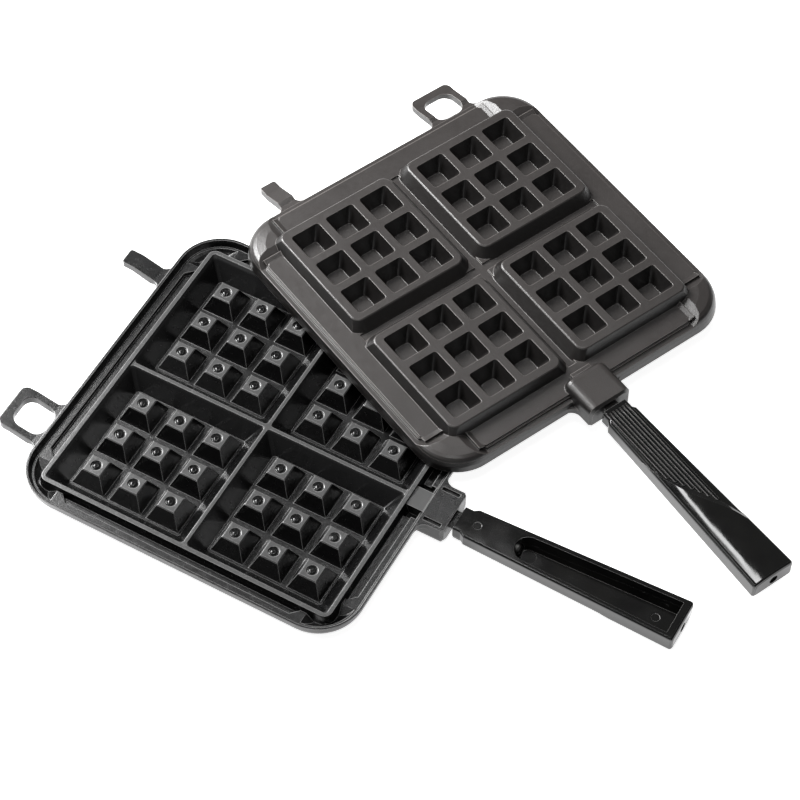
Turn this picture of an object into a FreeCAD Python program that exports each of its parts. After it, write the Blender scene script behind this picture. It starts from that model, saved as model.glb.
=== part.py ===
import FreeCAD, Part
import math
import os
from types import SimpleNamespace

from FreeCAD import Placement, Rotation, Vector

# Stovetop waffle iron: two like cast halves that hook together at their tabs, each with a moulded
# handle held by one long screw. Millimetres, +Z up. The origin is the middle of the lower plate on
# the plane of the stove, and +X runs along the lower handle. Each half is first made in its own
# frame: inside up, the parting plane at z = 0, the plate below it and the handle towards +X.

SIZES = [
    # plate outline and lip
    ("end_margin", 13.5),
    ("side_margin", 12.5),
    ("corner_radius", 28.0),
    ("half_depth", 16.0),
    ("wall", 2.6),
    ("edge_break", 0.5),
    ("lip_width", 1.5),
    ("lip_lean", 1.9),
    ("rim_lean", 1.5),
    ("ledge_depth", 4.0),
    ("ledge_width", 2.8),
    ("flange_border", 1.8),
    ("plinth_width", 1.2),
    ("plinth_drop", 1.2),
    ("panel_depth", 6.4),
    ("panel_corner", 4.5),
    # rib round the wells
    ("rib_drop", 0.8),
    ("rib_width", 2.4),
    ("rib_lean", 1.8),
    # wells and studs
    ("pitch", 25.0),
    ("group_gap", 17.9),
    ("stud_rows", 3),
    ("web_gap", 2.0),
    ("well_depth", 13.0),
    ("well_margin", 1.6),
    ("well_corner", 2.5),
    ("ridge_width", 2.0),
    ("stud_top", 11.6),
    ("stud_base", 21.2),
    ("dimple_radius", 3.4),
    ("dimple_depth", 0.9),
    ("bead_radius", 3.2),
    # recesses and blocks on the outer side
    ("recess_mouth", 20.0),
    ("recess_floor", 10.6),
    ("recess_depth", 10.0),
    ("recess_corner", 2.2),
    ("block_rim", 5.0),
    ("block_shift", 0.55),
    ("block_corner", 5.0),
    ("block_draft", 3.4),
    ("groove_depth", 8.0),
    ("groove_floor", 3.2),
    # raised corner pads
    ("pad_reach", 32.5),
    ("pad_ramp", 10.0),
    ("pad_drop", 5.2),
    ("pad_round", 9.5),
    ("ridge_lead", 0.3),
    ("ridge_length", 4.3),
    ("ridge_rise", 1.1),
    # handle boss and tang of the casting
    ("boss_width", 29.6),
    ("boss_length", 14.6),
    ("boss_reach", 13.5),
    ("boss_drop", 1.4),
    ("boss_round", 5.3),
    ("boss_fillet", 6.5),
    ("slot_length", 11.2),
    ("slot_width", 2.4),
    ("slot_depth", 2.0),
    ("slot_inset", 2.2),
    ("bridge_width", 13.8),
    ("bridge_drop", 2.0),
    ("tang_length", 12.5),
    ("tang_width", 9.0),
    ("tang_height", 6.0),
    ("tang_axis_depth", 6.6),
    # hinge tabs
    ("tab_spacing", 124.0),
    ("tab_thickness", 4.2),
    ("tab_drop", 0.4),
    ("tab_fillet", 5.5),
    ("tab_slope_start", 3.5),
    ("tab_slope_end", 19.5),
    ("tongue_width", 10.8),
    ("tongue_length", 26.6),
    ("tongue_rise", 5.0),
    ("loop_width", 29.4),
    ("loop_length", 27.4),
    ("loop_rise", 3.8),
    ("loop_bar", 6.0),
    ("loop_side", 4.4),
    ("loop_corner", 5.0),
    ("hole_corner", 7.0),
    ("pivot_reach", 12.3),
    # handle
    ("handle_gap", 2.5),
    ("handle_length", 141.2),
    ("collar_length", 5.5),
    ("collar_width", 17.0),
    ("shoulder_length", 2.8),
    ("root_width", 20.6),
    ("end_width", 28.6),
    ("root_drop", 2.2),
    ("end_drop", 0.3),
    ("root_face_depth", 12.7),
    ("end_face_depth", 12.2),
    ("handle_edge", 2.2),
    ("underside_edge", 1.2),
    ("seat_length", 35.5),
    ("trough_setback", 1.0),
    ("trough_wall", 3.2),
    ("trough_end_wall", 5.2),
    ("trough_floor", 2.6),
    ("trough_lean", 3.4),
    ("eject_radius", 2.5),
    ("eject_depth", 0.3),
    ("eject_near", 12.0),
    ("eject_far", 16.5),
    ("grip_depth", 0.8),
    ("grip_run", 4.4),
    ("pad_crown", 0.7),
    ("bar_count", 7),
    ("bar_pitch", 2.3),
    ("bar_width", 1.6),
    ("bar_height", 0.5),
    ("bar_start", 2.4),
    ("bar_short", 57.2),
    ("bar_long", 84.8),
    # handle screw and washer
    ("screw_diameter", 4.0),
    ("screw_length", 34.0),
    ("head_diameter", 7.2),
    ("head_height", 3.0),
    ("head_clearance", 1.0),
    ("drive_width", 1.0),
    ("drive_depth", 1.3),
    ("washer_diameter", 7.6),
    ("washer_thickness", 1.0),
    ("access_diameter", 5.8),
    ("fit_gap", 0.2),
    # how the upper half lies on the lower one
    ("lay_gap", 0.3),
    ("lay_along", 56.61),
    ("lay_across", 154.81),
]
LAY_TURN = -24.39

# The S curve across the grip: along the handle as shares of its length, and off its middle line
# as shares of half its width at the end
GRIP_CURVE_SHARES = [
    (0.312, 0.965), (0.358, 0.881), (0.400, 0.734), (0.476, 0.455), (0.576, 0.0),
    (0.643, -0.357), (0.694, -0.594), (0.747, -0.769), (0.800, -0.923), (0.857, -1.105),
]

doc = FreeCAD.newDocument("waffle_iron")
sheet = doc.addObject("Spreadsheet::Sheet", "sizes")
for row, (alias, value) in enumerate(SIZES, start=1):
    sheet.set(f"A{row}", alias)
    sheet.set(f"B{row}", str(value))
    sheet.setAlias(f"B{row}", alias)
doc.recompute()
s = SimpleNamespace(**{alias: float(sheet.get(alias)) for alias, _ in SIZES})

# Places that follow from the sizes
stud_span = s.pitch * (s.stud_rows - 1) / 2
quarter = (s.pitch + s.group_gap) / 2 + stud_span
well_floor_half = stud_span + s.stud_base / 2 + s.well_margin
well_lean = (quarter - well_floor_half - s.ridge_width / 2) / (s.well_depth - s.web_gap)
rib_inner = quarter + well_floor_half + well_lean * (s.well_depth - s.rib_drop)
rib_outer = rib_inner + s.rib_width
half_x = rib_outer + s.end_margin
half_y = rib_outer + s.side_margin
ledge_outside = s.ledge_depth + s.wall
flange_outside = s.panel_depth + s.wall
block_half = stud_span + s.recess_mouth / 2 + s.block_rim
block_centre = quarter + s.block_shift
block_lean = (block_centre - block_half - s.groove_floor / 2) / s.groove_depth
pad_depth = s.half_depth - s.pad_drop
boss_depth = s.half_depth - s.boss_drop
boss_end = half_x + s.boss_length
handle_start = boss_end + s.handle_gap
handle_end = handle_start + s.handle_length
seat = handle_start + s.seat_length
trough_start = seat + s.trough_setback
overrun = s.wall


def rounded_rectangle(x_half, y_half, radius, z, x_mid=0.0, y_mid=0.0):
    """A closed wire: a rectangle with round corners, level at z."""
    arc = radius * (1 - math.sqrt(0.5))
    edges = []
    corners = [(1, 1), (-1, 1), (-1, -1), (1, -1)]
    for number, (a, b) in enumerate(corners):
        x, y = x_mid + a * x_half, y_mid + b * y_half
        on_x = Vector(x - a * radius, y, z)
        on_y = Vector(x, y - b * radius, z)
        middle = Vector(x - a * arc, y - b * arc, z)
        first, last = (on_y, on_x) if a * b > 0 else (on_x, on_y)
        edges.append(Part.Arc(first, middle, last).toShape())
        c, d = corners[(number + 1) % 4]
        x, y = x_mid + c * x_half, y_mid + d * y_half
        following = Vector(x, y - d * radius, z) if c * d > 0 else Vector(x - c * radius, y, z)
        edges.append(Part.makeLine(last, following))
    return Part.Wire(edges)


def stack(radius, sections, x_mid=0.0, y_mid=0.0):
    """A solid through level rounded rectangles (x half, y half, z) whose corners share their
    centres; radius is the corner of the smallest one."""
    least = min(x for x, y, z in sections)
    wires = [rounded_rectangle(x, y, radius + x - least, z, x_mid, y_mid) for x, y, z in sections]
    return Part.makeLoft(wires, True, True)


def faceted(rings):
    """A solid with flat faces through rings of corners that match one another."""
    faces = [Part.Face(Part.makePolygon(ring + ring[:1])) for ring in (rings[0], rings[-1])]
    for low, high in zip(rings, rings[1:]):
        for k, corner in enumerate(low):
            after = (k + 1) % len(low)
            side = [corner, low[after], high[after], high[k], corner]
            faces.append(Part.Face(Part.makePolygon(side)))
    shell = Part.makeShell(faces)
    shell.sewShape()
    if Part.makeSolid(shell).Volume < 0:
        shell.reverse()
    return Part.makeSolid(shell)


def tapered_block(sections, x_mid=0.0, y_mid=0.0):
    """A square block with flat sides through the sections (half width, z)."""
    signs = [(1, 1), (-1, 1), (-1, -1), (1, -1)]
    return faceted([[Vector(x_mid + a * half, y_mid + b * half, z) for a, b in signs]
                    for half, z in sections])


def rounded_block(low, high, radius, x_mid, y_mid):
    """A tapered square block between two sections (half width, z) with round upright edges."""
    a, z_low = low
    b, z_high = high
    block = Part.makeWedge(-a, 0, -a, -b, -b, a, z_high - z_low, a, b, b)
    block.rotate(Vector(0, 0, 0), Vector(1, 0, 0), 90)
    upright = [edge for edge in block.Edges
               if abs(edge.Vertexes[0].Point.z - edge.Vertexes[1].Point.z) > s.edge_break]
    block = block.makeFillet(radius, upright)
    block.translate(Vector(x_mid, y_mid, z_low))
    return block


def box(x_low, x_high, y_low, y_high, z_low, z_high):
    """A plain box between six planes."""
    size = (x_high - x_low, y_high - y_low, z_high - z_low)
    return Part.makeBox(*size, Vector(x_low, y_low, z_low))


def four_ways(shape):
    """The shape and its images in the four quarters of the plate."""
    mirrored = [shape, shape.mirror(Vector(0, 0, 0), Vector(1, 0, 0))]
    return mirrored + [each.mirror(Vector(0, 0, 0), Vector(0, 1, 0)) for each in mirrored]


def stud_places():
    """The middle of every stud of the quarter at +x, +y."""
    steps = [quarter + s.pitch * k - stud_span for k in range(int(s.stud_rows))]
    return [(x, y) for x in steps for y in steps]


def chamfered_panel(x_half, y_half, z_low, z_high, lean):
    """A level panel with 45 degree corners whose sides draw in towards z_low."""
    rings = []
    for z, inset in ((z_low, lean), (z_high, 0.0)):
        x, y, c = x_half - inset, y_half - inset, s.panel_corner
        outline = [
            (x, y - c), (x - c, y), (-x + c, y), (-x, y - c),
            (-x, -y + c), (-x + c, -y), (x - c, -y), (x, -y + c),
        ]
        rings.append([Vector(px, py, z) for px, py in outline])
    return faceted(rings)


def corner_dome(inset, z_start, z_end):
    """The plate outline drawn in along a quarter ellipse, as the corner pads are."""
    sections = []
    steps = 5
    for k in range(steps + 1):
        rise = k / steps
        draw = inset + s.pad_round * (1 - math.sqrt(1 - rise * rise))
        z = z_start + (z_end - z_start) * rise
        sections.append((half_x - draw, half_y - draw, z))
    return stack(s.corner_radius - inset - s.pad_round, sections)


def corner_wedge(shrink, z_start, z_end):
    """A square block over one corner, with two ramps that face the middle of the plate."""
    rings = []
    far_x, far_y = half_x + s.wall, half_y + s.wall
    for z, lead in ((z_start, 0.0), (z_end, s.pad_ramp)):
        x, y = half_x - s.pad_reach + lead + shrink, half_y - s.pad_reach + lead + shrink
        rings.append([Vector(*p, z) for p in ((x, y), (far_x, y), (far_x, far_y), (x, far_y))])
    return faceted(rings)


def corner_ridges():
    """The two low ridges that end the panels before a corner pad, each with a steep far side."""
    low = -flange_outside + s.edge_break
    high = -flange_outside - s.ridge_rise
    border = s.lip_width + s.lip_lean + s.flange_border + s.edge_break
    inner = block_centre + block_half
    begin_x = half_x - s.pad_reach + s.ridge_lead
    begin_y = half_y - s.pad_reach + s.ridge_lead
    profile = [(0.0, low), (s.ridge_length, high), (s.ridge_length + s.edge_break, low)]
    across = [Vector(inner, begin_y + along, z) for along, z in profile]
    beside = [Vector(begin_x + along, inner, z) for along, z in profile]
    return [
        Part.Face(Part.makePolygon(across + across[:1])).extrude(Vector(half_x - border - inner, 0, 0)),
        Part.Face(Part.makePolygon(beside + beside[:1])).extrude(Vector(0, half_y - border - inner, 0)),
    ]


def outer_mass():
    """The plate with its flange, blocks and corner pads, before anything is sunk into it."""
    rim = stack(s.corner_radius - s.rim_lean, [
        (half_x, half_y, 0.0),
        (half_x - s.rim_lean / 3, half_y - s.rim_lean / 3, -s.ledge_depth),
        (half_x - s.rim_lean, half_y - s.rim_lean, -ledge_outside),
    ])
    panel_x = half_x - s.lip_width - s.lip_lean - s.flange_border
    panel_y = half_y - s.lip_width - s.lip_lean - s.flange_border
    short_x = half_x - s.pad_reach + s.panel_corner
    short_y = half_y - s.pad_reach + s.panel_corner
    plinth_depth = flange_outside - s.plinth_drop
    panels = []
    for depth, grow in ((flange_outside, 0.0), (plinth_depth, s.plinth_width)):
        for x, y in ((panel_x + grow, short_y), (short_x, panel_y + grow)):
            panels.append(chamfered_panel(x, y, -depth, -s.ledge_depth, s.edge_break))
    slab = rim.multiFuse(panels)
    reach = block_centre + block_half + s.edge_break
    width = s.groove_floor / 2 + block_lean * (flange_outside - s.groove_depth) + s.edge_break
    grooved_depth = s.half_depth - s.groove_depth
    slab = slab.cut(box(-reach, reach, -width, width, -flange_outside - overrun, -grooved_depth))
    slab = slab.cut(box(-width, width, -reach, reach, -flange_outside - overrun, -grooved_depth))

    face = block_half - s.edge_break
    brow = block_half + block_lean * s.edge_break
    foot = block_half + block_lean * s.groove_depth
    block = stack(s.block_corner, [
        (face, face, -s.half_depth),
        (brow, brow, -s.half_depth + s.edge_break),
        (foot, foot, -grooved_depth),
    ], block_centre, block_centre)
    side = block_centre + block_half
    hull = tapered_block([(side, -s.half_depth), (side + s.block_draft, -grooved_depth)])
    blocks = [each.common(hull) for each in four_ways(block)]
    core = tapered_block([(reach, -grooved_depth), (reach, -s.ledge_depth)])
    dome = corner_dome(s.rim_lean, -ledge_outside + s.edge_break, -pad_depth)
    pad = corner_wedge(0.0, -ledge_outside + s.edge_break, -pad_depth).common(dome)
    ridges = []
    for ridge in corner_ridges():
        ridges += four_ways(ridge)
    return slab.multiFuse([core] + blocks + four_ways(pad) + ridges)


def boss_section(x, half_width, depth, radius):
    """An arch across the handle boss: flat on the parting side, round at its outer edges."""
    corner = radius * (1 - math.sqrt(0.5))
    top_left = Vector(x, -half_width, 0)
    side_left = Vector(x, -half_width, -depth + radius)
    face_left = Vector(x, -half_width + radius, -depth)
    face_right = Vector(x, half_width - radius, -depth)
    side_right = Vector(x, half_width, -depth + radius)
    top_right = Vector(x, half_width, 0)
    return Part.Wire([
        Part.makeLine(top_left, side_left),
        Part.Arc(side_left, Vector(x, -half_width + corner, -depth + corner), face_left).toShape(),
        Part.makeLine(face_left, face_right),
        Part.Arc(face_right, Vector(x, half_width - corner, -depth + corner), side_right).toShape(),
        Part.makeLine(side_right, top_right),
        Part.makeLine(top_right, top_left),
    ])


def handle_boss():
    """The boss that carries the handle, its web to the rim and the tang that enters the handle."""
    wide = s.boss_width / 2
    start = half_x - s.boss_reach
    sections = []
    steps = 4
    for k in range(steps + 1):
        turn = math.pi / 2 * k / steps
        grow = math.sin(turn)
        x = start + s.boss_round * (1 - math.cos(turn))
        width = wide - s.boss_round * (1 - grow)
        depth = flange_outside - s.wall / 2 + (boss_depth - flange_outside + s.wall / 2) * grow
        sections.append(boss_section(x, width, depth, s.boss_round))
    rounding = 3 * s.edge_break
    sections.append(boss_section(boss_end - rounding, wide, boss_depth, s.boss_round))
    sections.append(boss_section(boss_end, wide - rounding, boss_depth - rounding, s.boss_round))
    boss = Part.makeLoft(sections, True, True)

    out = s.boss_fillet
    bend = out * (1 - math.sqrt(0.5))
    edges = []
    for side in (1, -1):
        rim_point = Vector(half_x - s.edge_break, side * (wide + out), 0)
        boss_point = Vector(half_x - s.edge_break + out, side * wide, 0)
        middle = Vector(half_x - s.edge_break + bend, side * (wide + bend), 0)
        edges.append(Part.Arc(rim_point, middle, boss_point).toShape())
    inner = half_x - s.corner_radius / 4
    right, left = edges
    edges = [
        right,
        Part.makeLine(right.Vertexes[1].Point, left.Vertexes[1].Point),
        left,
        Part.makeLine(left.Vertexes[0].Point, Vector(inner, -wide - out, 0)),
        Part.makeLine(Vector(inner, -wide - out, 0), Vector(inner, wide + out, 0)),
        Part.makeLine(Vector(inner, wide + out, 0), right.Vertexes[0].Point),
    ]
    web = Part.Face(Part.Wire(Part.__sortEdges__(edges))).extrude(Vector(0, 0, -s.ledge_depth))

    tang = box(boss_end - s.wall, boss_end + s.tang_length, -s.tang_width / 2, s.tang_width / 2,
               -s.tang_axis_depth - s.tang_height / 2, -s.tang_axis_depth + s.tang_height / 2)
    return [boss, web, tang]


def tab_profile(length, rise, y_low, y_high):
    """The side view of a hinge tab as a solid: it leaves the rim flat, then climbs past z = 0."""
    root = -half_x + s.wall
    bend = -half_x - s.tab_slope_start
    crest = -half_x - s.tab_slope_start * 2
    landing = -half_x - s.tab_slope_end
    tip = -half_x - length
    top = -s.tab_drop
    low = top - s.tab_thickness
    inner = [(root, top), (bend, top), (landing + s.tab_slope_start / 2, top + rise - s.edge_break),
             (tip + s.edge_break, top + rise)]
    outer = [(tip, top + rise - s.edge_break), (tip, low + rise + s.edge_break),
             (tip + s.edge_break, low + rise), (landing, low + rise - s.edge_break),
             (crest, low), (bend, low + s.edge_break * 2), (root, low - s.edge_break)]
    corners = [Vector(x, y_low, z) for x, z in inner + outer]
    face = Part.Face(Part.makePolygon(corners + corners[:1]))
    return face.extrude(Vector(0, y_high - y_low, 0))


def flared_tab(y_mid, half_width, length, tip_radius, z_low, z_high):
    """The plan of a hinge tab as a solid: round at the tip and flared into the rim."""
    root = -half_x + s.wall
    edge = -half_x + s.edge_break
    tip = -half_x - length
    flare = s.tab_fillet
    bend = flare * (1 - math.sqrt(0.5))
    turn = tip_radius * (1 - math.sqrt(0.5))

    def at(x, side, y):
        return Vector(x, y_mid + side * y, z_low)

    edges = []
    for side in (1, -1):
        edges += [
            Part.makeLine(at(root, side, half_width + flare), at(edge, side, half_width + flare)),
            Part.Arc(at(edge, side, half_width + flare), at(edge - bend, side, half_width + bend),
                     at(edge - flare, side, half_width)).toShape(),
            Part.makeLine(at(edge - flare, side, half_width), at(tip + tip_radius, side, half_width)),
            Part.Arc(at(tip + tip_radius, side, half_width), at(tip + turn, side, half_width - turn),
                     at(tip, side, half_width - tip_radius)).toShape(),
        ]
    edges.append(Part.makeLine(at(tip, 1, half_width - tip_radius), at(tip, -1, half_width - tip_radius)))
    edges.append(Part.makeLine(at(root, 1, half_width + flare), at(root, -1, half_width + flare)))
    outline = Part.Wire(Part.__sortEdges__(edges))
    return Part.Face(outline).extrude(Vector(0, 0, z_high - z_low))


def hinge_tabs():
    """The tongue at +y and the loop at -y, which hook into the loop and tongue of the other half."""
    across = s.tab_spacing / 2
    deep = s.tab_thickness * 3
    tongue_half = s.tongue_width / 2
    loop_half = s.loop_width / 2
    spread = s.tab_fillet * 2
    tongue = tab_profile(s.tongue_length, s.tongue_rise,
                         across - tongue_half - spread, across + tongue_half + spread)
    tongue = tongue.common(flared_tab(across, tongue_half, s.tongue_length, s.tab_thickness / 2,
                                      -deep, deep))
    loop = tab_profile(s.loop_length, s.loop_rise,
                       -across - loop_half - spread, -across + loop_half + spread)
    loop = loop.common(flared_tab(-across, loop_half, s.loop_length, s.loop_corner, -deep, deep))
    hole_start = -half_x - s.edge_break
    hole_end = -half_x - s.loop_length + s.loop_bar
    hole_half = loop_half - s.loop_side
    hole = stack(s.hole_corner, [
        ((hole_start - hole_end) / 2, hole_half, -deep),
        ((hole_start - hole_end) / 2, hole_half, deep),
    ], (hole_start + hole_end) / 2, -across)
    return [tongue, loop.cut(hole)]


def rib_block(z_low):
    """The space inside the outer face of the rib round the wells, down to z_low."""
    deep = -z_low
    lean = s.rib_lean / s.panel_depth
    flare = lean * (deep - s.rib_drop)
    return stack(s.well_corner + s.rib_width, [
        (rib_outer, rib_outer, overrun),
        (rib_outer, rib_outer, -s.rib_drop),
        (rib_outer + flare, rib_outer + flare, z_low),
    ])


def channel_space():
    """What is sunk between the lip and the rib: the ledge, the four panels and the corner pockets."""
    lip_x = half_x - s.lip_width
    lip_y = half_y - s.lip_width
    foot = s.lip_lean
    climb = s.lip_lean / s.ledge_depth * overrun
    ledge = stack(s.corner_radius - s.lip_width - foot, [
        (lip_x + climb, lip_y + climb, overrun),
        (lip_x - foot, lip_y - foot, -s.ledge_depth),
    ])
    panel_x = lip_x - s.lip_lean - s.ledge_width - s.edge_break
    panel_y = lip_y - s.lip_lean - s.ledge_width - s.edge_break
    short_x = half_x - s.pad_reach + s.panel_corner / 2
    short_y = half_y - s.pad_reach + s.panel_corner / 2
    middle = -s.ledge_depth / 2
    panels = [
        chamfered_panel(panel_x, short_y, -s.panel_depth, middle, s.edge_break),
        chamfered_panel(short_x, panel_y, -s.panel_depth, middle, s.edge_break),
    ]
    deep = -pad_depth + s.wall
    dome = corner_dome(s.rim_lean + s.wall, middle, deep)
    pocket = corner_wedge(s.wall, middle, deep).common(dome)
    space = ledge.multiFuse(panels + four_ways(pocket))
    return space.cut(rib_block(-s.half_depth))


def well_space():
    """The four wells with their studs left standing, and the gap over the ridges between them."""
    lean = well_lean
    floor = well_floor_half
    tall = s.well_depth + overrun
    well = rounded_block((floor, -s.well_depth), (floor + lean * tall, overrun), s.well_corner,
                         quarter, quarter)
    top_half = s.stud_top / 2
    base_half = s.stud_base / 2
    draft = (base_half - top_half) / (s.well_depth - s.web_gap)
    below = base_half + draft * s.wall
    brk = s.edge_break
    studs = []
    for x, y in stud_places():
        stud = tapered_block([(below, -s.well_depth - s.wall),
                              (top_half + draft * brk, -s.web_gap - brk),
                              (top_half - brk, -s.web_gap)], x, y)
        dimple = Part.makeCylinder(s.dimple_radius, s.dimple_depth + overrun,
                                   Vector(x, y, -s.web_gap - s.dimple_depth))
        bead = Part.makeSphere(s.bead_radius, Vector(x, y, -s.web_gap - s.bead_radius + brk / 2))
        studs.append(stud.cut(dimple.cut(bead)))
    well = well.cut(Part.makeCompound(studs))
    web_half = quarter + floor + lean * (s.well_depth - s.web_gap)
    web_open = web_half + lean * (s.web_gap + overrun)
    web = rounded_block((web_half, -s.web_gap), (web_open, overrun), s.well_corner, 0.0, 0.0)
    cap = stack(s.well_corner + s.rib_width, [
        (rib_outer, rib_outer, -s.rib_drop),
        (rib_outer, rib_outer, overrun),
    ])
    return [cap, web] + four_ways(well)


def recess_space():
    """The tapered hollows behind the studs."""
    mouth = s.recess_mouth / 2
    floor = s.recess_floor / 2
    past = (mouth - floor) / s.recess_depth * s.edge_break
    recesses = []
    for x, y in stud_places():
        recesses.append(rounded_block((mouth + past, -s.half_depth - s.edge_break),
                                      (floor, -s.half_depth + s.recess_depth),
                                      s.recess_corner, x, y))
    return four_ways(Part.makeCompound(recesses))


def boss_space():
    """The hollow under the boss behind the lip, and the two slots in the face of the boss."""
    wide = s.boss_width / 2 - s.wall
    inner = rib_outer
    outer = half_x - s.lip_width - s.lip_lean - s.edge_break
    deep = boss_depth - s.wall * 2
    pocket = box(inner, outer, -wide, wide, -deep, -s.ledge_depth / 2).cut(rib_block(-s.half_depth))
    spaces = [pocket]
    first = half_x + s.edge_break
    for side in (1, -1):
        near = side * (s.boss_width / 2 - s.slot_inset)
        far = near - side * s.slot_width
        spaces.append(box(first, first + s.slot_length, min(near, far), max(near, far),
                          -s.slot_depth, overrun))
    thread = Part.makeCylinder(s.screw_diameter / 2, s.tang_length + s.screw_length / 4,
                               Vector(boss_end + s.tang_length, 0, -s.tang_axis_depth),
                               Vector(-1, 0, 0))
    return spaces + [thread]


def cast_half():
    """One cast half in its own frame."""
    bridge = box(rib_inner + s.rib_width / 2, half_x - s.edge_break, -s.bridge_width / 2,
                 s.bridge_width / 2, -boss_depth + s.wall, -s.bridge_drop)
    half = outer_mass().multiFuse(handle_boss() + hinge_tabs())
    half = half.cut(channel_space())
    for cutter in well_space():
        half = half.cut(cutter)
    for cutter in recess_space():
        half = half.cut(cutter)
    for cutter in boss_space()[:3]:
        half = half.cut(cutter)
    half = half.fuse(bridge)
    half = half.cut(boss_space()[3])
    return half.removeSplitter()


def handle_section(x, half_width, z_top, z_low, crown):
    """A rounded rectangle across the handle, sharper at the underside than at the outer face,
    which bulges by crown."""
    corners = [(1, z_top), (-1, z_top), (-1, z_low), (1, z_low)]
    points = []
    for number, (side, z) in enumerate(corners):
        y = side * half_width
        down = -1 if z == z_top else 1
        radius = s.underside_edge if z == z_top else s.handle_edge
        arc = radius * (1 - math.sqrt(0.5))
        on_side = Vector(x, y, z + down * radius)
        on_face = Vector(x, y - side * radius, z)
        middle = Vector(x, y - side * arc, z + down * arc)
        first, last = (on_side, on_face) if number % 2 == 0 else (on_face, on_side)
        points.append((first, middle, last))
    edges = []
    for number, (first, middle, last) in enumerate(points):
        edges.append(Part.Arc(first, middle, last).toShape())
        following = points[(number + 1) % 4][0]
        if number == 2 and crown:
            edges.append(Part.Arc(last, Vector(x, 0, z_low - crown), following).toShape())
        else:
            edges.append(Part.makeLine(last, following))
    return Part.Wire(edges)


def share_along(x):
    """How far x lies along the handle, from 0 at its collar to 1 at its end."""
    begin = handle_start + s.collar_length
    return (x - begin) / (handle_end - begin)


def handle_half_width(x):
    return (s.root_width + (s.end_width - s.root_width) * share_along(x)) / 2


def underside(x):
    return -(s.root_drop + (s.end_drop - s.root_drop) * share_along(x))


def outer_face(x):
    return -(s.root_face_depth + (s.end_face_depth - s.root_face_depth) * share_along(x))


def handle_body(sink, crown):
    """The plain handle, its outer face set back by sink and raised along its middle by crown: a
    collar, a shoulder and the grip."""
    brk = s.edge_break
    collar = s.collar_width / 2
    face = -s.root_face_depth + sink
    shoulder = handle_start + s.collar_length
    rows = [
        (handle_start, collar - brk * 2, -s.root_drop - brk * 2, face + brk * 2),
        (handle_start + brk, collar, -s.root_drop, face + brk),
        (shoulder, collar, -s.root_drop, face + brk / 2),
    ]
    for x in (shoulder + s.shoulder_length, handle_end - brk * 3):
        rows.append((x, handle_half_width(x), underside(x), outer_face(x) + sink))
    for back, draw in ((brk, brk), (0.0, brk * 3)):
        x = handle_end - back
        rows.append((x, handle_half_width(x) - draw, underside(x) - draw,
                     outer_face(x) + sink + draw))
    return Part.makeLoft([handle_section(*row, crown) for row in rows], True, True)


def trough_space():
    """The long hollow on the underside, open upwards, with drafted walls and a round near end."""
    wires = []
    far = handle_end - s.trough_end_wall
    climb = overrun / 2
    near_half = handle_half_width(trough_start) - s.trough_wall
    straight = trough_start + near_half
    for x in (straight, far):
        top = underside(x) + climb
        low = outer_face(x) + s.trough_floor
        wide = handle_half_width(x) - s.trough_wall
        slope = s.trough_lean / (underside(x) - low)
        narrow = wide - s.trough_lean
        flared = wide + slope * climb
        corners = [Vector(x, flared, top), Vector(x, -flared, top),
                   Vector(x, -narrow, low), Vector(x, narrow, low)]
        wires.append(Part.makePolygon(corners + corners[:1]))
    trough = Part.makeLoft(wires, True, True)
    x = straight
    low = outer_face(x) + s.trough_floor
    top = underside(x) + climb
    wide = handle_half_width(x) - s.trough_wall
    slope = s.trough_lean / (underside(x) - low)
    end = Part.makeCone(wide - s.trough_lean, wide + slope * climb, top - low, Vector(x, 0, low))
    return trough.fuse(end)


def raised_pad():
    """The smooth end of the grip, which stands proud of the barred field along an S curve."""
    face = outer_face(handle_start + s.collar_length)
    low = face - s.pad_crown - s.edge_break
    run = s.grip_run / s.grip_depth
    points = []
    for along, across in GRIP_CURVE_SHARES:
        rise = s.pad_crown * max(0.0, 1 - across * across)
        x = handle_start + along * s.handle_length + run * (face - rise - low)
        points.append(Vector(x, across * s.end_width / 2, low))
    curve = Part.BSplineCurve()
    curve.interpolate(points)
    past = handle_end + s.handle_length / 4
    far_side = s.end_width
    outline = Part.Wire([
        curve.toShape(),
        Part.makeLine(points[-1], Vector(points[-1].x, -far_side, low)),
        Part.makeLine(Vector(points[-1].x, -far_side, low), Vector(past, -far_side, low)),
        Part.makeLine(Vector(past, -far_side, low), Vector(past, far_side, low)),
        Part.makeLine(Vector(past, far_side, low), Vector(points[0].x, far_side, low)),
        Part.makeLine(Vector(points[0].x, far_side, low), points[0]),
    ])
    tall = s.pad_crown + s.grip_depth + s.handle_edge + s.edge_break
    sweep = Part.Face(outline).extrude(Vector(-run * tall, 0, tall))
    return handle_body(0.0, s.pad_crown).common(sweep)


def grip_bars():
    """The raised bars of the grip, side by side along the handle, and the band they start from."""
    root = handle_start + s.bar_start
    count = int(s.bar_count)
    top = outer_face(root) + s.grip_depth - s.bar_height
    foot = top + s.bar_height + s.edge_break * 2
    half = s.bar_width / 2
    bars = [box(handle_start + s.edge_break, root + half, -s.bar_pitch * count / 2 + s.edge_break,
                s.bar_pitch * count / 2 - s.edge_break, top, foot)]
    for k in range(count):
        y = (k - (count - 1) / 2) * s.bar_pitch
        end = handle_start + s.bar_long + (s.bar_short - s.bar_long) * k / (count - 1)
        bars.append(stack(half * 0.9, [((end - root) / 2, half, top), ((end - root) / 2, half, foot)],
                          (end + root) / 2, y))
    fall = (s.root_face_depth - s.end_face_depth) / s.handle_length
    for bar in bars:
        bar.rotate(Vector(root, 0, top), Vector(0, 1, 0), -math.degrees(fall))
    return bars


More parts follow.
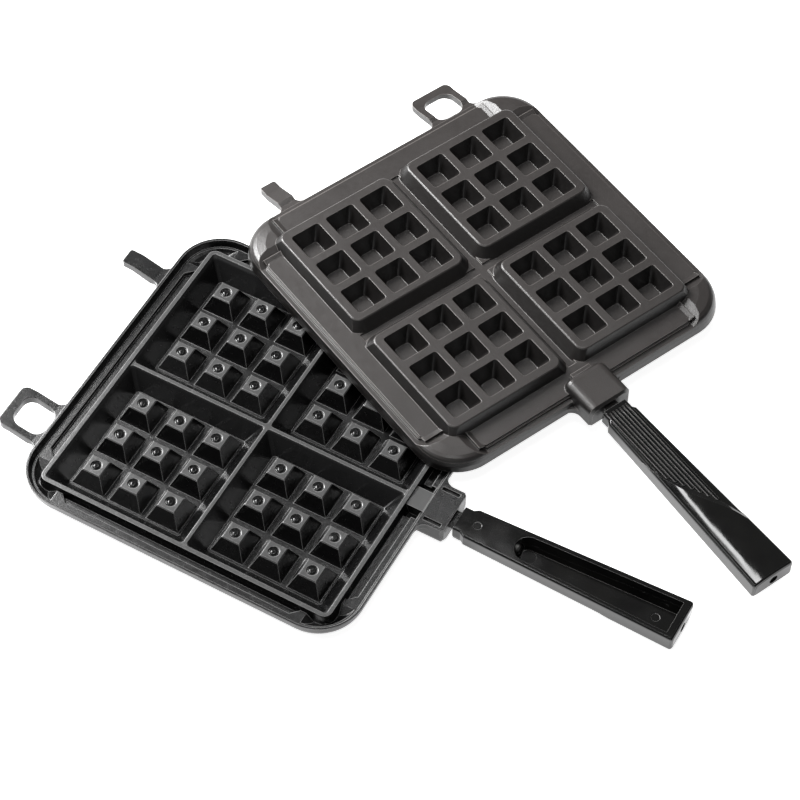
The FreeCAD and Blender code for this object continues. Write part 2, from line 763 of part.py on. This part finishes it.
def handle():
    """One handle in the frame of its half."""
    axis = -s.tang_axis_depth
    gap = s.fit_gap
    tang_end = boss_end + s.tang_length
    head_space = s.head_height + s.washer_thickness + s.head_clearance
    wall = handle_end - s.trough_end_wall - s.fit_gap
    sockets = [
        box(handle_start - overrun, tang_end + gap, -s.tang_width / 2 - gap, s.tang_width / 2 + gap,
            axis - s.tang_height / 2 - gap, axis + s.tang_height / 2 + gap),
        Part.makeCylinder(s.screw_diameter / 2 + gap, seat + overrun - tang_end,
                          Vector(tang_end, 0, axis), Vector(1, 0, 0)),
        Part.makeCylinder(s.washer_diameter / 2 + gap, head_space,
                          Vector(seat, 0, axis), Vector(1, 0, 0)),
        Part.makeCylinder(s.access_diameter / 2, handle_end + overrun - wall,
                          Vector(wall, 0, axis), Vector(1, 0, 0)),
    ]
    near = handle_start + s.eject_near
    far = handle_end - s.eject_far
    marks = [
        Part.makeCylinder(s.eject_radius, overrun, Vector(near, 0, underside(near) - s.eject_depth)),
        Part.makeCylinder(s.eject_radius, s.eject_depth * 2,
                          Vector(far, 0, outer_face(far) + s.trough_floor - s.eject_depth)),
    ]
    body = handle_body(s.grip_depth, 0.0).multiFuse([raised_pad()] + grip_bars())
    body = body.cut(trough_space())
    for cutter in sockets + marks:
        body = body.cut(cutter)
    return body.removeSplitter()


def half_frame(upper):
    """Where one half lies: the lower on its blocks, the upper turned over and laid across it."""
    if not upper:
        return Placement(Vector(0, 0, s.half_depth), Rotation())
    turn = Rotation(Vector(0, 0, 1), LAY_TURN).multiply(Rotation(Vector(1, 0, 0), 180))
    return Placement(Vector(s.lay_along, s.lay_across, s.half_depth + s.lay_gap), turn)


def solid_piece(name, shape, upper):
    """A piece whose shape is made above in the frame of its half."""
    piece = doc.addObject("Part::Feature", name)
    piece.Shape = shape
    piece.Placement = half_frame(upper)
    return piece


def primitive(kind, name, sizes, offset="0"):
    """A Part primitive about its own Z axis, sized and raised by expressions on the sheet."""
    item = doc.addObject(kind, name)
    for key, expression in sizes.items():
        item.setExpression(key, expression)
    item.setExpression(".Placement.Base.z", offset)
    return item


def cut_from(name, base, tool):
    """One Part object cut from another."""
    item = doc.addObject("Part::Cut", name)
    item.Base = base
    item.Tool = tool
    return item


def along_handle(upper):
    """The frame of the screw: its seat in the trough, its axis along the handle."""
    local = Placement(Vector(seat, 0, -s.tang_axis_depth), Rotation(Vector(0, 1, 0), 90))
    return half_frame(upper).multiply(local)


def handle_screw(name, upper):
    """The pan-head screw that pulls the handle on to the casting, with a cross drive."""
    shank = primitive("Part::Cylinder", name + "_shank", {
        "Radius": "sizes.screw_diameter / 2 - sizes.fit_gap / 2",
        "Height": "sizes.screw_length",
    }, "sizes.washer_thickness - sizes.screw_length")
    head = primitive("Part::Cylinder", name + "_head", {
        "Radius": "sizes.head_diameter / 2",
        "Height": "sizes.head_height * 0.6",
    }, "sizes.washer_thickness")
    dome = primitive("Part::Cone", name + "_dome", {
        "Radius1": "sizes.head_diameter / 2",
        "Radius2": "sizes.head_diameter * 0.36",
        "Height": "sizes.head_height * 0.4",
    }, "sizes.washer_thickness + sizes.head_height * 0.6")
    body = doc.addObject("Part::MultiFuse", name + "_blank")
    body.Shapes = [shank, head, dome]
    arms = []
    for suffix, along, across in (("_slot_a", "Length", "Width"), ("_slot_b", "Width", "Length")):
        arm = primitive("Part::Box", name + suffix, {
            along: "sizes.head_diameter * 0.6",
            across: "sizes.drive_width",
            "Height": "sizes.drive_depth * 2",
        }, "sizes.washer_thickness + sizes.head_height - sizes.drive_depth")
        for key, size in (("x", "Length"), ("y", "Width")):
            reach = "sizes.head_diameter * 0.6" if size == along else "sizes.drive_width"
            arm.setExpression(".Placement.Base." + key, "-(" + reach + ") / 2")
        arms.append(arm)
    drive = doc.addObject("Part::MultiFuse", name + "_drive")
    drive.Shapes = arms
    screw = cut_from(name, body, drive)
    screw.Placement = along_handle(upper)
    return screw


def lock_washer(name, upper):
    """The split ring under the screw head."""
    disc = primitive("Part::Cylinder", name + "_disc", {
        "Radius": "sizes.washer_diameter / 2",
        "Height": "sizes.washer_thickness",
    })
    bore = primitive("Part::Cylinder", name + "_bore", {
        "Radius": "sizes.screw_diameter / 2 + sizes.fit_gap / 2",
        "Height": "sizes.washer_thickness * 3",
    }, "-sizes.washer_thickness")
    split = primitive("Part::Box", name + "_split", {
        "Length": "sizes.washer_diameter",
        "Width": "sizes.washer_thickness",
        "Height": "sizes.washer_thickness * 3",
    }, "-sizes.washer_thickness")
    split.setExpression(".Placement.Base.y", "-sizes.washer_thickness / 2")
    spaces = doc.addObject("Part::MultiFuse", name + "_spaces")
    spaces.Shapes = [bore, split]
    washer = cut_from(name, disc, spaces)
    washer.Placement = along_handle(upper)
    return washer


pieces = []
casting = cast_half()
grip = handle()
for upper, prefix in ((False, "lower"), (True, "upper")):
    pieces.append(solid_piece(prefix + "_plate", casting, upper))
    pieces.append(solid_piece(prefix + "_handle", grip, upper))
    pieces.append(handle_screw(prefix + "_handle_screw", upper))
    pieces.append(lock_washer(prefix + "_lock_washer", upper))
doc.recompute()

for item in doc.Objects:
    if "Invalid" in item.State or "Error" in item.State:
        raise RuntimeError(item.Name + " failed: " + str(item.State))
os.makedirs("parts", exist_ok=True)
for piece in pieces:
    shape = piece.Shape
    if shape.isNull() or not shape.isValid():
        raise RuntimeError(piece.Label + " has a bad shape")
    print(piece.Label, len(shape.Solids), "solid(s)", round(shape.Volume), "mm3", shape.BoundBox)
    shape.exportStep("parts/" + piece.Label + ".step")
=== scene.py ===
import bpy
from mathutils import Matrix, Vector

# Stovetop waffle iron, two cast halves with moulded handles, lit and seen as in the photograph.
# Metres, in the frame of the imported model: the lower half stands on the floor at z = 0.

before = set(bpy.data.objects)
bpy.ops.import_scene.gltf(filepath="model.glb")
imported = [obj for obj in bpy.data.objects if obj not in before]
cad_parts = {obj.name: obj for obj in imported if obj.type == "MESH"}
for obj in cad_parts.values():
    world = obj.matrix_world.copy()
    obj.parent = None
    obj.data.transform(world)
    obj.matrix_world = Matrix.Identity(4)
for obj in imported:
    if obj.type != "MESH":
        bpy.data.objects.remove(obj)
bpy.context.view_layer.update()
scene = bpy.context.scene


# Places on the lower plate that its painted sheen and bead marks follow
FIRST_STUD = 0.02145         # middle of the first stud, from the middle of the plate
STUD_PITCH = 0.025
LAST_STUD_EDGE = 0.080       # no stud reaches past this
DIMPLE_RADIUS = 0.0034
STUD_SHEEN_HEIGHTS = (0.0128, 0.0138)    # the painted sheen comes in between these heights
RIB_TOP = 0.0153             # and ends above this one
TONE_BLEND = 0.0003          # how wide a tone's border is

# How the nodes read the shape
SHAPE_SAMPLES = 8
EDGE_COSINES = (0.995, 0.90)     # rounded normal to flat one: at an edge's start, and on it
LEVEL_COSINES = (0.45, 0.95)     # flat normal to the vertical: on a wall, and on a level face
CORNER_REACH = 0.005
CORNER_OPENNESS = (0.25, 0.85)   # deep in a corner, and on open ground

# The coat of the castings
COAT_ROUNDING = 0.0007
COAT_IOR = 1.6
FLECK_LIFT = 2.0             # a fleck's tone, in parts of the light tone
CORNER_SHADE_TONE = 0.35           # painted shade in the corners, in parts of the dark tone
BEAD_EDGE_HIGHLIGHT = 0.35             # painted edge highlight left on the beads
BEAD_ROUGHNESS = 0.35        # roughness left on the beads
PEEL_SHARE = 0.35            # the slow waves of the coat against its pebbles
PEBBLE_DEPTH = 0.0003
COAT_SPREAD = (-0.03, 0.04)  # how far the roughness strays

# The handles
HANDLE_ROUNDING = 0.0003
HANDLE_IOR = 1.62
HANDLE_DARK = (0.0030, 0.0030, 0.0030)
HANDLE_BLOOM = (0.0065, 0.0065, 0.0060)
# painted highlight along the handle's edges
HANDLE_EDGE_HIGHLIGHT = (0.16, 0.158, 0.154)
HANDLE_ROUGHNESS = (0.05, 0.09)
HANDLE_EDGE_ROUGHNESS = 0.2
WAVE_STRENGTH = 0.10
WAVE_DEPTH = 0.0009

# The screws and washers
STEEL_ROUNDING = 0.00025
STEEL_MARK_STRENGTH = 0.2
STEEL_MARK_DEPTH = 0.0001
STEEL_DULL = 0.6
STEEL_SPREAD = 0.18


# Node helpers

def shade(colour, share):
    return tuple(part * share for part in colour)


class Graph:
    """A material's node tree, with short ways to add the nodes used here."""

    def __init__(self, name):
        self.material = bpy.data.materials.new(name)
        self.material.use_nodes = True
        self.tree = self.material.node_tree
        self.nodes = self.tree.nodes
        self.nodes.clear()
        self.output = self.add("ShaderNodeOutputMaterial")
        self.coords = self.add("ShaderNodeTexCoord")

    def add(self, kind, **values):
        node = self.nodes.new(kind)
        for key, value in values.items():
            setattr(node, key, value)
        return node

    def link(self, source, target):
        self.tree.links.new(source, target)

    def feed(self, socket, value):
        """Give a socket a number or a colour, or link it to another node's output."""
        if isinstance(value, tuple):
            socket.default_value = (*value, 1.0)
        elif isinstance(value, (int, float)):
            socket.default_value = value
        else:
            self.link(value, socket)

    def noise(self, scale, detail, roughness=0.5):
        node = self.add("ShaderNodeTexNoise")
        node.inputs["Scale"].default_value = scale
        node.inputs["Detail"].default_value = detail
        node.inputs["Roughness"].default_value = roughness
        self.link(self.coords.outputs["Object"], node.inputs["Vector"])
        return node.outputs["Fac"]

    def remap(self, source, old, new=(0.0, 1.0)):
        """Stretch the old range of source to the new one, and hold it at the ends."""
        node = self.add("ShaderNodeMapRange")
        for key, value in zip(("From Min", "From Max", "To Min", "To Max"), (*old, *new)):
            node.inputs[key].default_value = value
        self.link(source, node.inputs["Value"])
        return node.outputs["Result"]

    def fade(self, share, end):
        """From 1 where share is 0 to end where it is 1."""
        return self.remap(share, (0.0, 1.0), (1.0, end))

    def math(self, operation, *values):
        node = self.add("ShaderNodeMath", operation=operation)
        for socket, value in zip(node.inputs, values):
            self.feed(socket, value)
        return node.outputs[0]

    def product(self, a, b):
        return self.math("MULTIPLY", a, b)

    def mix(self, factor, a, b):
        node = self.add("ShaderNodeMix", data_type="RGBA")
        self.feed(node.inputs[0], factor)
        colour_in = [socket for socket in node.inputs if socket.type == "RGBA"]
        for socket, value in zip(colour_in, (a, b)):
            self.feed(socket, value)
        return [socket for socket in node.outputs if socket.type == "RGBA"][0]

    def bump(self, height, strength, depth, normal):
        node = self.add("ShaderNodeBump")
        node.inputs["Strength"].default_value = strength
        node.inputs["Distance"].default_value = depth
        self.link(height, node.inputs["Height"])
        self.link(normal, node.inputs["Normal"])
        return node.outputs["Normal"]

    def split(self, vector):
        """The X, Y and Z outputs of a vector."""
        node = self.add("ShaderNodeSeparateXYZ")
        self.link(vector, node.inputs[0])
        return node.outputs

    def flat_normal(self):
        return self.add("ShaderNodeNewGeometry").outputs["Normal"]

    def soft_edges(self, radius):
        node = self.add("ShaderNodeBevel", samples=SHAPE_SAMPLES)
        node.inputs["Radius"].default_value = radius
        return node.outputs["Normal"]

    def edge_share(self, rounded):
        """From 0 on a flat face to 1 where the rounded normal leaves the face at an edge."""
        dot = self.add("ShaderNodeVectorMath", operation="DOT_PRODUCT")
        self.link(rounded, dot.inputs[0])
        self.link(self.flat_normal(), dot.inputs[1])
        return self.remap(dot.outputs["Value"], EDGE_COSINES)

    def level_share(self):
        """From 0 on an upright face to 1 on a level one."""
        upward = self.split(self.flat_normal())["Z"]
        return self.remap(self.math("ABSOLUTE", upward), LEVEL_COSINES)

    def open_share(self):
        """From 0 deep in a corner to 1 on open ground."""
        node = self.add("ShaderNodeAmbientOcclusion", samples=SHAPE_SAMPLES)
        node.inputs["Distance"].default_value = CORNER_REACH
        return self.remap(node.outputs["AO"], CORNER_OPENNESS)

    def top_sheen_share(self):
        """1 at the height of the stud tops and the ribs, 0 below them and on the lip."""
        height = self.split(self.coords.outputs["Object"])["Z"]
        return self.product(self.remap(height, STUD_SHEEN_HEIGHTS),
                            self.remap(height, (RIB_TOP, RIB_TOP + TONE_BLEND), (1.0, 0.0)))

    def bead_share(self):
        """1 in the ring and on the bead in the middle of a stud's top, 0 elsewhere."""
        place = self.split(self.coords.outputs["Object"])
        squares = []
        inside = []
        for axis in ("X", "Y"):
            away = self.math("ABSOLUTE", place[axis])
            inside.append(self.math("LESS_THAN", away, LAST_STUD_EDGE))
            past_first = self.math("SUBTRACT", away, FIRST_STUD)
            off = self.math("PINGPONG", past_first, STUD_PITCH / 2)
            squares.append(self.product(off, off))
        radius = self.math("SQRT", self.math("ADD", *squares))
        share = self.remap(radius, (DIMPLE_RADIUS, DIMPLE_RADIUS - TONE_BLEND))
        return self.product(share, self.product(*inside))

    def surface(self, colour, roughness, normal, **values):
        node = self.add("ShaderNodeBsdfPrincipled")
        self.link(colour, node.inputs["Base Color"])
        self.link(roughness, node.inputs["Roughness"])
        self.link(normal, node.inputs["Normal"])
        for key, value in values.items():
            node.inputs[key].default_value = value
        self.link(node.outputs["BSDF"], self.output.inputs["Surface"])
        return self.material


# Materials

def coated_casting(name, dark, light, edge_highlight_tone, rough, grain, sparkle, wall_shade,
                   top_sheen_tone=None):
    """A sprayed coat on cast metal: pebbled, mottled, with a painted highlight over its edges
    and painted shade in the corners and on steep walls. With a sheen tone it has a painted sheen
    on the level tops of the studs and ribs, left off the beads, which stay dark and glossy."""
    g = Graph(name)
    rounded = g.soft_edges(COAT_ROUNDING)
    level = g.level_share()
    open_ground = g.open_share()

    cloud = g.remap(g.noise(scale=22.0, detail=4.0), (0.3, 0.7))
    fleck = g.remap(g.noise(scale=1800.0, detail=2.0, roughness=0.6), (0.58, 0.70),
                    (0.0, sparkle))
    colour = g.mix(cloud, dark, light)
    colour = g.mix(fleck, colour, shade(light, FLECK_LIFT))
    # painted shade: steep walls darker than level faces
    colour = g.mix(level, shade(dark, wall_shade), colour)
    # painted highlight along the convex edges, kept out of the corners
    edge_highlight = g.product(g.edge_share(rounded), open_ground)
    roughness = g.remap(g.noise(scale=380.0, detail=3.0), (0.3, 0.7),
                        (rough + COAT_SPREAD[0], rough + COAT_SPREAD[1]))
    if top_sheen_tone is not None:
        beads = g.bead_share()
        # painted sheen: the level tops of the studs and ribs paler
        colour = g.mix(g.product(g.top_sheen_share(), level), colour, top_sheen_tone)
        # the beads keep the dark tone, without the painted sheen
        colour = g.mix(beads, colour, dark)
        edge_highlight = g.product(edge_highlight, g.fade(beads, BEAD_EDGE_HIGHLIGHT))
        roughness = g.product(roughness, g.fade(beads, BEAD_ROUGHNESS))

    patchy = g.remap(g.noise(scale=60.0, detail=2.0), (0.35, 0.65), (0.75, 1.0))
    # painted shade: darker deep in the corners
    colour = g.mix(open_ground, shade(dark, CORNER_SHADE_TONE), colour)
    # paint the edge highlight, patchy along its length
    colour = g.mix(g.product(edge_highlight, patchy), colour, edge_highlight_tone)

    pebble = g.noise(scale=1400.0, detail=2.0)
    orange_peel = g.noise(scale=260.0, detail=2.0)
    height = g.math("ADD", pebble, g.product(orange_peel, PEEL_SHARE))
    normal = g.bump(height, grain, PEBBLE_DEPTH, rounded)
    return g.surface(colour, roughness, normal, IOR=COAT_IOR)


def phenolic(name):
    """Black moulded phenolic: a deep gloss, slightly wavy, with a pale bloom in places and
    edges that wear dull, with a painted highlight along them."""
    g = Graph(name)
    rounded = g.soft_edges(HANDLE_ROUNDING)
    wave = g.noise(scale=30.0, detail=1.0)
    normal = g.bump(wave, WAVE_STRENGTH, WAVE_DEPTH, rounded)
    bloom = g.remap(g.noise(scale=60.0, detail=3.0), (0.35, 0.7))
    dulled_and_highlit = g.edge_share(rounded)
    # painted highlight: the edges paler than the body
    colour = g.mix(dulled_and_highlit, g.mix(bloom, HANDLE_DARK, HANDLE_BLOOM), HANDLE_EDGE_HIGHLIGHT)
    gloss = g.remap(g.noise(scale=75.0, detail=4.0), (0.35, 0.7), HANDLE_ROUGHNESS)
    roughness = g.math("ADD", gloss, g.product(dulled_and_highlit, HANDLE_EDGE_ROUGHNESS))
    return g.surface(colour, roughness, normal, IOR=HANDLE_IOR)


def dark_steel(name, colour, rough):
    """Steel with fine turning marks and a dull patch here and there."""
    g = Graph(name)
    marks = g.noise(scale=1400.0, detail=2.0)
    normal = g.bump(marks, STEEL_MARK_STRENGTH, STEEL_MARK_DEPTH, g.soft_edges(STEEL_ROUNDING))
    patches = g.remap(g.noise(scale=300.0, detail=3.0), (0.35, 0.7))
    tone = g.mix(patches, colour, shade(colour, STEEL_DULL))
    roughness = g.remap(g.noise(scale=500.0, detail=2.0), (0.3, 0.7),
                        (rough, rough + STEEL_SPREAD))
    return g.surface(tone, roughness, normal, Metallic=1.0)


# The edge tone of each coat is a painted highlight along its edges.
LOWER = coated_casting("coat_lower", dark=(0.0045, 0.0045, 0.0047),
                       light=(0.0075, 0.0075, 0.0077), edge_highlight_tone=(0.320, 0.319, 0.316),
                       rough=0.24, grain=0.20, sparkle=0.15, wall_shade=0.5,
                       top_sheen_tone=(0.064, 0.064, 0.064))
UPPER = coated_casting("coat_upper", dark=(0.030, 0.0265, 0.0252),
                       light=(0.042, 0.0378, 0.0362), edge_highlight_tone=(0.200, 0.184, 0.174),
                       rough=0.34, grain=0.25, sparkle=0.15, wall_shade=0.20)
HANDLE = phenolic("handle_black")
SCREW = dark_steel("screw_dark", colour=(0.20, 0.20, 0.195), rough=0.24)
WASHER = dark_steel("washer_spring", colour=(0.24, 0.235, 0.225), rough=0.3)

FINISHES = {
    "lower_plate": LOWER,
    "upper_plate": UPPER,
    "lower_handle": HANDLE,
    "upper_handle": HANDLE,
    "lower_handle_screw": SCREW,
    "upper_handle_screw": SCREW,
    "lower_lock_washer": WASHER,
    "upper_lock_washer": WASHER,
}
for name, material in FINISHES.items():
    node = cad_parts[name]
    if not node.material_slots:
        node.data.materials.append(material)
    for slot in node.material_slots:
        slot.link = "OBJECT"
        slot.material = material


# Floor and world

WHITE = (1.0, 1.0, 1.0, 1.0)
FLOOR_GREY = (0.86, 0.86, 0.86, 1.0)
FLOOR_GLOW = 0.90
FLOOR_SIZE = 12.0
FLOOR_PLACE = (0.1, 0.1, -0.0002)    # just under the part, so that no two faces lie in one plane
WORLD_STRENGTH = 0.12


def shade_floor():
    """White to the camera and in reflections, with the object's shadow kept faintly."""
    g = Graph("floor_pale")
    diffuse = g.add("ShaderNodeBsdfDiffuse")
    diffuse.inputs["Color"].default_value = FLOOR_GREY
    glow = g.add("ShaderNodeEmission")
    glow.inputs["Color"].default_value = WHITE
    seen = g.add("ShaderNodeLightPath").outputs
    either = g.math("MAXIMUM", seen["Is Camera Ray"], seen["Is Glossy Ray"])
    g.link(g.product(either, FLOOR_GLOW), glow.inputs["Strength"])
    both = g.add("ShaderNodeAddShader")
    g.link(diffuse.outputs[0], both.inputs[0])
    g.link(glow.outputs[0], both.inputs[1])
    g.link(both.outputs[0], g.output.inputs["Surface"])
    return g.material


bpy.ops.mesh.primitive_plane_add(size=FLOOR_SIZE, location=FLOOR_PLACE)
floor = bpy.context.object
floor.name = "floor"
floor.data.materials.append(shade_floor())

world = bpy.data.worlds.new("studio")
scene.world = world
world.use_nodes = True
backdrop = world.node_tree.nodes["Background"]
backdrop.inputs["Color"].default_value = WHITE
backdrop.inputs["Strength"].default_value = WORLD_STRENGTH


# Lamps

TARGET = Vector((0.08, 0.06, 0.01))
SIDEWAYS = (1.0, 0.0, 0.0)
UPPER_HANDLE_AXIS = (0.911, -0.413, 0.0)


def softbox(name, direction, distance, width, height, power, along=SIDEWAYS):
    """A rectangular area light that faces the object from the direction given, its width laid
    as near to along as it can be."""
    data = bpy.data.lights.new(name, "AREA")
    data.shape = "RECTANGLE"
    data.size = width
    data.size_y = height
    data.energy = power
    lamp = bpy.data.objects.new(name, data)
    scene.collection.objects.link(lamp)
    away = Vector(direction).normalized()
    along = Vector(along)
    beside = (along - away * along.dot(away)).normalized()
    axes = Matrix((beside, away.cross(beside), away)).transposed()
    lamp.matrix_world = Matrix.Translation(TARGET + away * distance) @ axes.to_4x4()


softbox("key_left", direction=(-0.74, 0.10, 0.66), distance=1.3,
        width=0.6, height=0.6, power=34.0)
softbox("streak_handle", direction=(-0.070, 0.365, 0.928), distance=1.29,
        width=0.44, height=0.06, power=1.0, along=UPPER_HANDLE_AXIS)
softbox("strip_near", direction=(-0.56, -0.45, 0.62), distance=1.3,
        width=0.9, height=0.2, power=2.4)
softbox("glint_front", direction=(0.10, -0.30, 0.95), distance=1.3,
        width=0.12, height=0.12, power=1.5)


# Camera, fitted to the centres of the studs and recesses in the photograph

CAMERA_PLACE = (0.503668, -0.770103, 1.344730)
CAMERA_AXES = (
    (0.873039, -0.403306, 0.274130),
    (0.487562, 0.711213, -0.506418),
    (0.009276, 0.575778, 0.817554),
)
SENSOR_WIDTH = 36.0
FOCAL_LENGTH = 125.81
CLIP_END = 20.0

lens = bpy.data.cameras.new("camera")
lens.sensor_width = SENSOR_WIDTH
lens.lens = FOCAL_LENGTH
lens.clip_end = CLIP_END
camera = bpy.data.objects.new("camera", lens)
scene.collection.objects.link(camera)
camera.matrix_world = Matrix.Translation(CAMERA_PLACE) @ Matrix(CAMERA_AXES).to_4x4()
scene.camera = camera
scene.view_settings.view_transform = "Standard"
